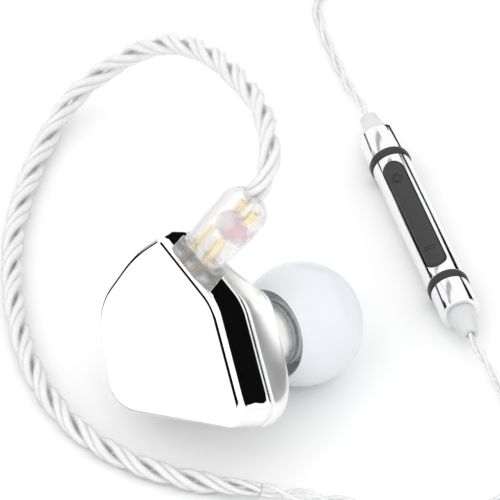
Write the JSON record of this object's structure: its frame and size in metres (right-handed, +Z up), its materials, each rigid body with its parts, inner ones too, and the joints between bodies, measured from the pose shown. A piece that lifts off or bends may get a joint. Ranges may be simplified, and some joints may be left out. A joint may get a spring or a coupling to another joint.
{
  "type": "in-ear monitor",
  "caption": "Metal in-ear monitor with a detachable two-pin twisted ear-hook cable, an in-line remote with a rocker key, and a slim stereo jack.",
  "frame": {"origin": "centre of the footprint of the monitor without its cable, on the ground plane", "axes": "+Z up, +X to the right and +Y away as seen from the side that the front cover's face looks towards"},
  "size_m": [0.0634, 0.1061, 0.0298],
  "materials": {
    "polished_shell": "mirror-polished zinc alloy",
    "seam_metal": "polished",
    "brushed_metal": "brushed",
    "steel_mesh": "woven mesh",
    "foam": "open-cell foam",
    "silicone": "clear soft silicone",
    "clear_plastic": "clear moulded plastic",
    "socket_plastic": "smoked clear plastic",
    "gold": "gold plated",
    "glue": "set glue",
    "black_plastic": "fine matte",
    "key_plastic": "satin",
    "grey_plastic": "satin",
    "magnet": "nickel plated",
    "yoke_steel": "zinc plated",
    "copper": "enamelled copper wire",
    "film": "thin polymer film",
    "board": "solder mask",
    "wire_red": "enamel",
    "clear_jacket": "clear soft jacket",
    "satin_metal": "satin anodised",
    "tie_rubber": "matte"
  },
  "bodies": {
    "monitor": {"front_cover": "polished_shell", "mid_ring": "seam_metal", "rear_shell": "polished_shell", "nozzle": "brushed_metal", "nozzle_mesh": "steel_mesh", "nozzle_damper": "foam", "socket_block": "socket_plastic", "socket_contacts": "gold", "driver_bracket": "black_plastic", "driver_frame": "black_plastic", "driver_yoke": "yoke_steel", "driver_magnet": "magnet", "pole_plate": "yoke_steel", "driver_grille": "steel_mesh", "terminal_board": "board", "internal_wires": "wire_red", "ear_hook_cable": "clear_jacket", "ear_lead": "clear_jacket", "remote_relief_lower": "clear_jacket", "remote_cap_lower": "satin_metal", "remote_ring_lower": "black_plastic", "remote_barrel": "satin_metal", "remote_ring_upper": "black_plastic", "remote_cap_upper": "satin_metal", "remote_relief_upper": "clear_jacket", "remote_circuit_board": "board", "remote_switches": "grey_plastic", "remote_microphone": "seam_metal", "plug_lead": "clear_jacket", "cable_coil": "clear_jacket", "cable_tie": "tie_rubber", "jack_lead": "clear_jacket", "jack_relief": "clear_jacket", "jack_barrel": "satin_metal", "jack_insulators": "black_plastic", "jack_sleeve": "gold", "jack_rings": "gold", "jack_tip": "gold"},
    "ear_tip": {"ear_tip": "silicone"},
    "plug": {"plug_housing": "clear_plastic", "plug_pins": "gold", "plug_glue": "glue", "plug_crimps": "gold"},
    "key_carrier": {"remote_key_carrier": "grey_plastic"},
    "key_pad": {"remote_key_pad": "key_plastic"},
    "moving_coil": {"diaphragm": "film", "voice_coil": "copper"}
  },
  "joints": [
    {"name": "ear_tip_pull", "type": "slide", "parent": "monitor", "child": "ear_tip", "axis": [0.7211, 0.6302, -0.288], "range_m": [0, 0.006]},
    {"name": "plug_pull", "type": "slide", "parent": "monitor", "child": "plug", "axis": [0.615, 0.2476, 0.7486], "range_m": [0, 0.0045], "deforming": ["ear_hook_cable"]},
    {"name": "key_press", "type": "slide", "parent": "monitor", "child": "key_carrier", "axis": [0.2781, 0.0903, -0.9563], "range_m": [0, 0.0003], "stiffness_N_per_m": 2000},
    {"name": "key_rock", "type": "hinge", "parent": "key_carrier", "child": "key_pad", "pos_m": [0.02025, 0.02512, 0.00318], "axis": [-0.9095, -0.2955, -0.2924], "range_deg": [-2, 2], "stiffness_Nm_per_rad": 0.02},
    {"name": "diaphragm_travel", "type": "slide", "parent": "monitor", "child": "moving_coil", "axis": [-0.6018, -0.5647, 0.5647], "range_m": [-0.0002, 0.0002], "stiffness_N_per_m": 400}
  ]
}
